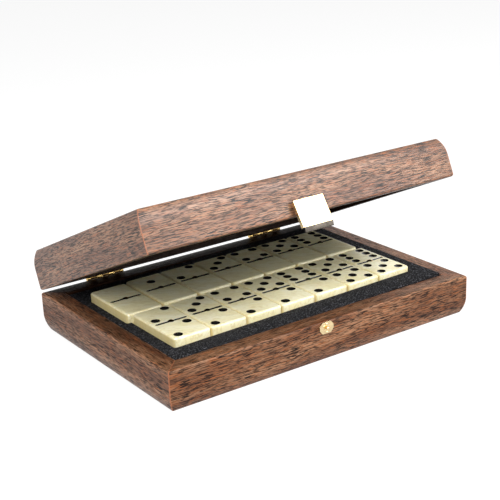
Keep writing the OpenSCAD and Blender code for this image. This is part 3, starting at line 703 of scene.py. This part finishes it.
def cupProfile(wide, deep, lip, flat):
    # distance from the middle, and height below the face, from the flat face over a soft lip into the cup
    half = wide / 2
    t = np.linspace(0, 1, 5)[:, None]
    a, b = np.array([half + lip, 0]), np.array([half, 0])
    c = np.array([half - lip, -capDrop(half - lip, wide, deep)])
    reach = np.linspace(half - lip, 0, 8)[1:]
    return np.concatenate([[[half + lip + flat, 0]], (1 - t) ** 2 * a + 2 * t * (1 - t) * b + t ** 2 * c,
                           np.stack([reach, -capDrop(reach, wide, deep)], -1)])


def turnedRows(profile, heading, middle, top):
    # the profile turned: middle + reach * cos(heading) across, + reach * sin(heading) along, top + height up
    reach, height = profile[:, :1], profile[:, 1:]
    return np.stack([middle[0] + reach * np.cos(heading), middle[1] + reach * np.sin(heading),
                     top + height + 0 * heading], -1)


def facePlate(loops, top):
    # triangles between the outline and the holes: one whose three points lie on the same hole is left out
    flat = np.concatenate(loops)
    owner = np.repeat(np.arange(len(loops)), [len(loop) for loop in loops])
    edges, start = [], 0
    for loop in loops:
        edges += [(start + k, start + (k + 1) % len(loop)) for k in range(len(loop))]
        start += len(loop)
    verts, _, faces, source, *_ = delaunay_2d_cdt([Vector(v) for v in flat.tolist()], edges, [], 1, 1e-9)
    first = np.array([s[0] for s in source])
    faces = np.array([f for f in faces if len(f) == 3])
    of = owner[first[faces]]
    filled = (of[:, 0] > 0) & (of[:, 0] == of[:, 1]) & (of[:, 0] == of[:, 2])
    return {"points": np.column_stack([flat[first], np.full(len(verts), top)]), "faces": faces[~filled]}


def cupPatches(rows, paintFrom=3):
    # the ivory lip, and the painted cup inside it
    count = rows.shape[1]
    return [{"points": rows[:paintFrom + 1].reshape(-1, 3),
             "faces": gridFaces(paintFrom + 1, count, wrapCols=True)},
            {"points": rows[paintFrom:].reshape(-1, 3), "material": 1,
             "faces": gridFaces(len(rows) - paintFrom, count, wrapCols=True)}]


def dominoPiece(node, backValue, frontValue):
    # rings up the rounded body, a flat face with holes, and a cup turned into each hole
    s = dominoSizes
    top, e = s["thick"], s["edge"]
    quarter = np.linspace(0, math.pi / 2, 7)
    turned = quarter[::-1]
    inset = np.concatenate([[e + s["flat"]], e * (1 - np.cos(turned)),
                            e * (1 - np.cos(quarter)), [e + s["flat"]]])
    height = np.concatenate([[top], top - e + e * np.sin(turned), e - e * np.sin(quarter), [0]])
    rings = [roundedOutline(s["width"], s["length"], s["corner"], 6, 4, i) for i in inset]
    body = np.stack([np.column_stack([r, np.full(len(r), h)]) for r, h in zip(rings, height)])
    patches = [{"points": body.reshape(-1, 3), "faces": gridFaces(len(rings), body.shape[1], wrapCols=True)},
               {"points": body[-1], "faces": [list(range(body.shape[1]))]}]
    loops = [body[0][:, :2]]
    turn = np.linspace(0, 2 * math.pi, 33)[:-1]
    pip = cupProfile(s["pipWide"], s["pipDeep"], s["lip"], s["flat"])
    for value, side in ((backValue, 1), (frontValue, -1)):
        for px, py in pipSpots[value]:
            middle = (px * s["pipAcross"], side * s["pipMiddle"] + py * s["pipAlong"])
            rows = turnedRows(pip, turn, middle, top)
            patches += cupPatches(rows)
            loops.append(rows[0][:, :2])
    # the dividing bar is a cup drawn out: half a turn at each end
    straight = (s["barLong"] - s["barWide"]) / 2
    bend = np.linspace(-math.pi / 2, math.pi / 2, 11)
    heading = np.concatenate([bend, bend + math.pi])
    ends = np.repeat([straight, -straight], 11)
    rows = turnedRows(cupProfile(s["barWide"], s["barDeep"], s["barLip"], s["flat"]), heading, (ends, 0), top)
    patches += cupPatches(rows)
    loops.append(rows[0][:, :2])
    patches.append(facePlate(loops, top))
    # spinner: a low dome with a thin rim
    half, inside = s["spinnerWide"] / 2, s["spinnerWide"] / 2 - s["rimWide"]
    reach = np.linspace(0, inside, 10)
    dome = np.concatenate([np.stack([reach, capDrop(reach, s["spinnerWide"], s["spinnerHigh"])], -1),
                           [[half, s["rimHigh"]], [inside, 0], [0, 0]]])
    rows = turnedRows(dome, np.linspace(0, 2 * math.pi, 29)[:-1], (0, 0), top + s["spinnerPlay"])
    patches.append({"points": rows.reshape(-1, 3), "material": 2,
                    "faces": gridFaces(len(rows), rows.shape[1], wrapCols=True)})
    low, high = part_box(node)
    place = np.array([(low[0] + high[0]) / 2, (low[1] + high[1]) / 2, low[2]])
    # painted golden shade by depth: quick on the long sides, where the next domino stands close, and slow on the
    # short ones
    for p in patches:
        points = np.asarray(p["points"], float)
        down = top - points[:, 2]
        nearJoint = np.abs(points[:, 0]) > s["width"] / 2 - s["jointSkin"]
        close = nearJoint * np.clip((down - s["jointFrom"]) / s["jointDeep"], 0, 1)
        lowShade = np.clip((down - e) / s["lowShadeDeep"], 0, 1)
        p["values"] = {"depth": np.maximum(s["jointShadeGold"] * close, s["lowShadeGold"] * lowShade)}
        p["points"] = points + place
    looks = [ivory, pipPaint, metals["spinnerMetal"]]
    return buildPiece(node + "_tile", patches, looks, sharpAngle=50, mergeAt=1e-6)


dominoNodes = sorted(n for n in frame["nodes"] if n.startswith("domino_"))
for node in dominoNodes:
    backValue, frontValue = [int(v) for v in node.split("_")[1:]]
    standFor(dominoPiece(node, backValue, frontValue), node)
print("dominoes made:", len(dominoNodes))


fittingSizes = {"hingeSoft": 0.08 * mm, "claspSoft": 0.12 * mm, "springSoft": 0.06 * mm, "lipFrom": 15.3 * mm}
metalOf = {"hinge_brass": (metals["hingeBrass"], fittingSizes["hingeSoft"]),
           "clasp_brass": (metals["claspBrass"], fittingSizes["claspSoft"]),
           "spring_steel": (metals["springSteel"], fittingSizes["springSoft"])}


def softenedCopy(node, material, width):
    # the CAD node's own shape, merged into clean faces, with its edges broken by a small bevel
    mesh = frame["nodes"][node].data.copy()
    mesh.name = node + "_metal"
    bm = bmesh.new()
    bm.from_mesh(mesh)
    bmesh.ops.remove_doubles(bm, verts=bm.verts, dist=1e-6)
    bmesh.ops.dissolve_limit(bm, angle_limit=math.radians(0.5), verts=bm.verts, edges=bm.edges)
    bm.to_mesh(mesh)
    bm.free()
    mesh.materials.clear()
    mesh.materials.append(material)
    mesh.shade_smooth()
    mesh.set_sharp_from_angle(angle=math.radians(35))
    piece = bpy.data.objects.new(node + "_metal", mesh)
    bpy.context.scene.collection.objects.link(piece)
    bevel = piece.modifiers.new("brokenEdge", "BEVEL")
    bevel.width, bevel.segments, bevel.limit_method = width, 2, "ANGLE"
    bevel.angle_limit = math.radians(35)
    bevel.harden_normals = True
    return piece


def shadedLip(piece):
    # the bent lip gets a darker copy of the brass, painted shade for the dark reflection it shows: faces further
    # down from the pin than the flap's own face goes
    pin = np.array(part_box("clasp_pin")).mean(0)
    down = np.array([0, -math.sin(flapLean), -math.cos(flapLean)])
    mesh = piece.data
    mesh.materials.append(metals["shadedLipBrass"])
    centre = np.zeros(len(mesh.polygons) * 3)
    mesh.polygons.foreach_get("center", centre)
    beyond = (centre.reshape(-1, 3) - pin) @ down > fittingSizes["lipFrom"]
    mesh.polygons.foreach_set("material_index", beyond.astype(np.int32))


for part in frame["record"]["subparts"]:
    node, slot = part["node"], part["material_slot"]
    if slot in metalOf:
        material, width = metalOf[slot]
        if node.endswith("hinge_lid_leaf"):
            material = metals["shadedBrass"]
        piece = standFor(softenedCopy(node, material, width), node)
        if node == "clasp_flap":
            shadedLip(piece)
print("fittings made")

studio = {
    "floorSize": 6.0, "floorDiffuse": 0.30, "floorGlow": 0.80, "worldDiffuse": 0.38,
    "eye": (-0.43174, -0.62478, 0.32045), "target": (-0.00019, 0.00288, 0.05143),
    "lens": 85.48, "roll": -2.33,
}
lamps = {  # name: place, width, height, power
    "key": ((0.55, -0.62, 0.95), 0.62, 0.62, 9.5),
    "front": ((0.70, -0.95, 0.46), 0.55, 0.45, 4.2),
    "side": ((-0.75, -0.65, 0.85), 0.6, 0.6, 12.0),
}


def whiteRays(tree):
    # 1 for rays that show the surroundings, by the camera or a mirror, 0 for rays that light the box
    path = addNode(tree, "LightPath")
    seen = mathOf(tree, "MAXIMUM", path.outputs["Is Camera Ray"], path.outputs["Is Glossy Ray"])
    return mathOf(tree, "MAXIMUM", seen, path.outputs["Is Transmission Ray"])


def studioFloor(s):
    # a flat square that shows near white to the camera and stays a plain reflector for the light
    half = s["floorSize"] / 2
    corners = np.array([[-half, -half, 0], [half, -half, 0], [half, half, 0], [-half, half, 0]])
    corners[:, 2] = cadBox[0][2] - 0.0001
    mesh = bpy.data.meshes.new("floor")
    mesh.from_pydata(corners.tolist(), [], [[0, 1, 2, 3]])
    floor = bpy.data.objects.new("floor", mesh)
    bpy.context.scene.collection.objects.link(floor)
    material = bpy.data.materials.new("paleFloor")
    material.use_nodes = True
    tree = material.node_tree
    tree.nodes.clear()
    plain = addNode(tree, "BsdfDiffuse", {"Color": (0.8, 0.8, 0.8, 1)})
    shown = addNode(tree, "BsdfDiffuse", {"Color": (s["floorDiffuse"],) * 3 + (1,)})
    glow = addNode(tree, "Emission", {"Color": (1, 1, 1, 1), "Strength": s["floorGlow"]})
    both = addNode(tree, "AddShader", {0: shown.outputs[0], 1: glow.outputs[0]})
    mix = addNode(tree, "MixShader", {0: whiteRays(tree), 1: plain.outputs[0], 2: both.outputs[0]})
    out = addNode(tree, "OutputMaterial")
    tree.links.new(mix.outputs[0], out.inputs["Surface"])
    mesh.materials.append(material)


def studioWorld(s):
    # white to the camera and in mirrors, dimmer as a light
    world = bpy.data.worlds.new("studio")
    bpy.context.scene.world = world
    world.use_nodes = True
    tree = world.node_tree
    back = tree.nodes["Background"]
    back.inputs["Color"].default_value = (1, 1, 1, 1)
    strength = addNode(tree, "MapRange", {"Value": whiteRays(tree),
                                          "To Min": s["worldDiffuse"], "To Max": 1.0})
    tree.links.new(strength.outputs[0], back.inputs["Strength"])


def softLamp(name, place, wide, high, power):
    # a rectangle of light that faces the middle of the box
    light = bpy.data.lights.new(name, "AREA")
    light.shape, light.size, light.size_y, light.energy = "RECTANGLE", wide, high, power
    lamp = bpy.data.objects.new(name, light)
    lamp.location = place
    lamp.rotation_euler = (Vector((0, 0, 0.05)) - Vector(place)).to_track_quat("-Z", "Y").to_euler()
    bpy.context.scene.collection.objects.link(lamp)


def photoCamera(s):
    # looks from the eye to the target, then rolls about its own line of sight
    camera = bpy.data.objects.new("camera", bpy.data.cameras.new("camera"))
    camera.data.lens, camera.data.sensor_width = s["lens"], 36
    camera.data.clip_start, camera.data.clip_end = 0.01, 20
    look = (Vector(s["target"]) - Vector(s["eye"])).to_track_quat("-Z", "Y").to_matrix().to_4x4()
    roll = Matrix.Rotation(math.radians(s["roll"]), 4, "Z")
    camera.matrix_world = Matrix.Translation(s["eye"]) @ look @ roll
    bpy.context.scene.collection.objects.link(camera)
    bpy.context.scene.camera = camera


studioFloor(studio)
studioWorld(studio)
for name, (place, wide, high, power) in lamps.items():
    softLamp(name, place, wide, high, power)
photoCamera(studio)
bpy.context.scene.view_settings.view_transform = "Standard"
print("studio made")
